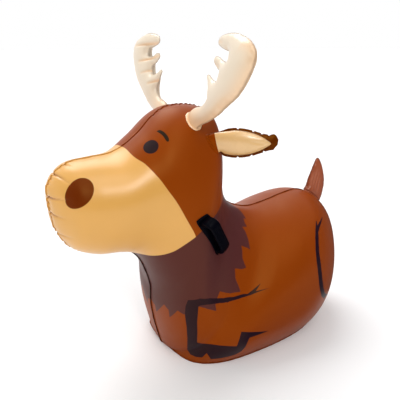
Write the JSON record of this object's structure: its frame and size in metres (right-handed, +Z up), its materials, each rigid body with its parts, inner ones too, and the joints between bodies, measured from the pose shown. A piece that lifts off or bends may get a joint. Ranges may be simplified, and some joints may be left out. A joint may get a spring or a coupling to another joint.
{
  "type": "inflatable animal hopper",
  "caption": "Inflatable antlered ride-on animal: welded vinyl body on a flat base, springy antlers, ears and tail, moulded neck grips and a push-in inflation valve.",
  "frame": {"origin": "on the floor, on the underside of the base panel in the mid-line plane", "axes": "+Z up, the animal faces -Y, its left side is +X"},
  "size_m": [0.4166, 0.675, 0.6214],
  "materials": {
    "brown_vinyl": "glossy",
    "ivory_vinyl": "glossy",
    "tan_vinyl": "glossy",
    "russet_vinyl": "glossy",
    "black_moulding": "satin",
    "pale_valve": "translucent white"
  },
  "bodies": {
    "hull": {"antler_left_root_tab": "ivory_vinyl", "antler_right_root_tab": "ivory_vinyl", "base_panel": "brown_vinyl", "ear_left_root_tab": "brown_vinyl", "ear_right_root_tab": "brown_vinyl", "grip_left": "black_moulding", "grip_left_patch": "black_moulding", "grip_right": "black_moulding", "grip_right_patch": "black_moulding", "left_side_panel": "brown_vinyl", "right_side_panel": "brown_vinyl", "tail_root_tab": "russet_vinyl", "valve_flange": "pale_valve"},
    "antler_left": {"antler_left_front_panel": "ivory_vinyl", "antler_left_rear_panel": "ivory_vinyl"},
    "antler_right": {"antler_right_front_panel": "ivory_vinyl", "antler_right_rear_panel": "ivory_vinyl"},
    "ear_left": {"ear_left_back_panel": "brown_vinyl", "ear_left_front_panel": "tan_vinyl"},
    "ear_right": {"ear_right_back_panel": "brown_vinyl", "ear_right_front_panel": "tan_vinyl"},
    "tail": {"tail_left_panel": "russet_vinyl", "tail_right_panel": "russet_vinyl"},
    "valve_stem": {"valve_stem": "pale_valve", "valve_check_flap": "pale_valve"},
    "valve_cap": {"valve_cap": "pale_valve"}
  },
  "joints": [
    {"name": "antler_left_flex", "type": "hinge", "parent": "hull", "child": "antler_left", "pos_m": [0.06777, -0.16869, 0.47231], "axis": [0.6561, -0.1181, -0.7454], "range_deg": [-18, 18], "stiffness_Nm_per_rad": 1.5},
    {"name": "antler_right_flex", "type": "hinge", "parent": "hull", "child": "antler_right", "pos_m": [-0.06777, -0.16869, 0.47231], "axis": [0.6561, 0.1181, 0.7454], "range_deg": [-18, 18], "stiffness_Nm_per_rad": 1.5},
    {"name": "ear_left_flex", "type": "hinge", "parent": "hull", "child": "ear_left", "pos_m": [0.0867, -0.13804, 0.4345], "axis": [0.2357, 0.2911, -0.9272], "range_deg": [-25, 25], "stiffness_Nm_per_rad": 0.5},
    {"name": "ear_right_flex", "type": "hinge", "parent": "hull", "child": "ear_right", "pos_m": [-0.0867, -0.13804, 0.4345], "axis": [0.2357, -0.2911, 0.9272], "range_deg": [-25, 25], "stiffness_Nm_per_rad": 0.5},
    {"name": "tail_flex", "type": "hinge", "parent": "hull", "child": "tail", "pos_m": [0, 0.19831, 0.26655], "axis": [0, 0.7539, -0.657], "range_deg": [-30, 30], "stiffness_Nm_per_rad": 0.6},
    {"name": "valve_stem_slide", "type": "slide", "parent": "hull", "child": "valve_stem", "axis": [-0.9106, 0.0858, 0.4044], "range_m": [0, 0.01]},
    {"name": "valve_cap_hinge", "type": "hinge", "parent": "valve_stem", "child": "valve_cap", "pos_m": [-0.15447, 0.07698, 0.17527], "axis": [-0.0938, -0.9956, 0], "range_deg": [0, 150]}
  ]
}
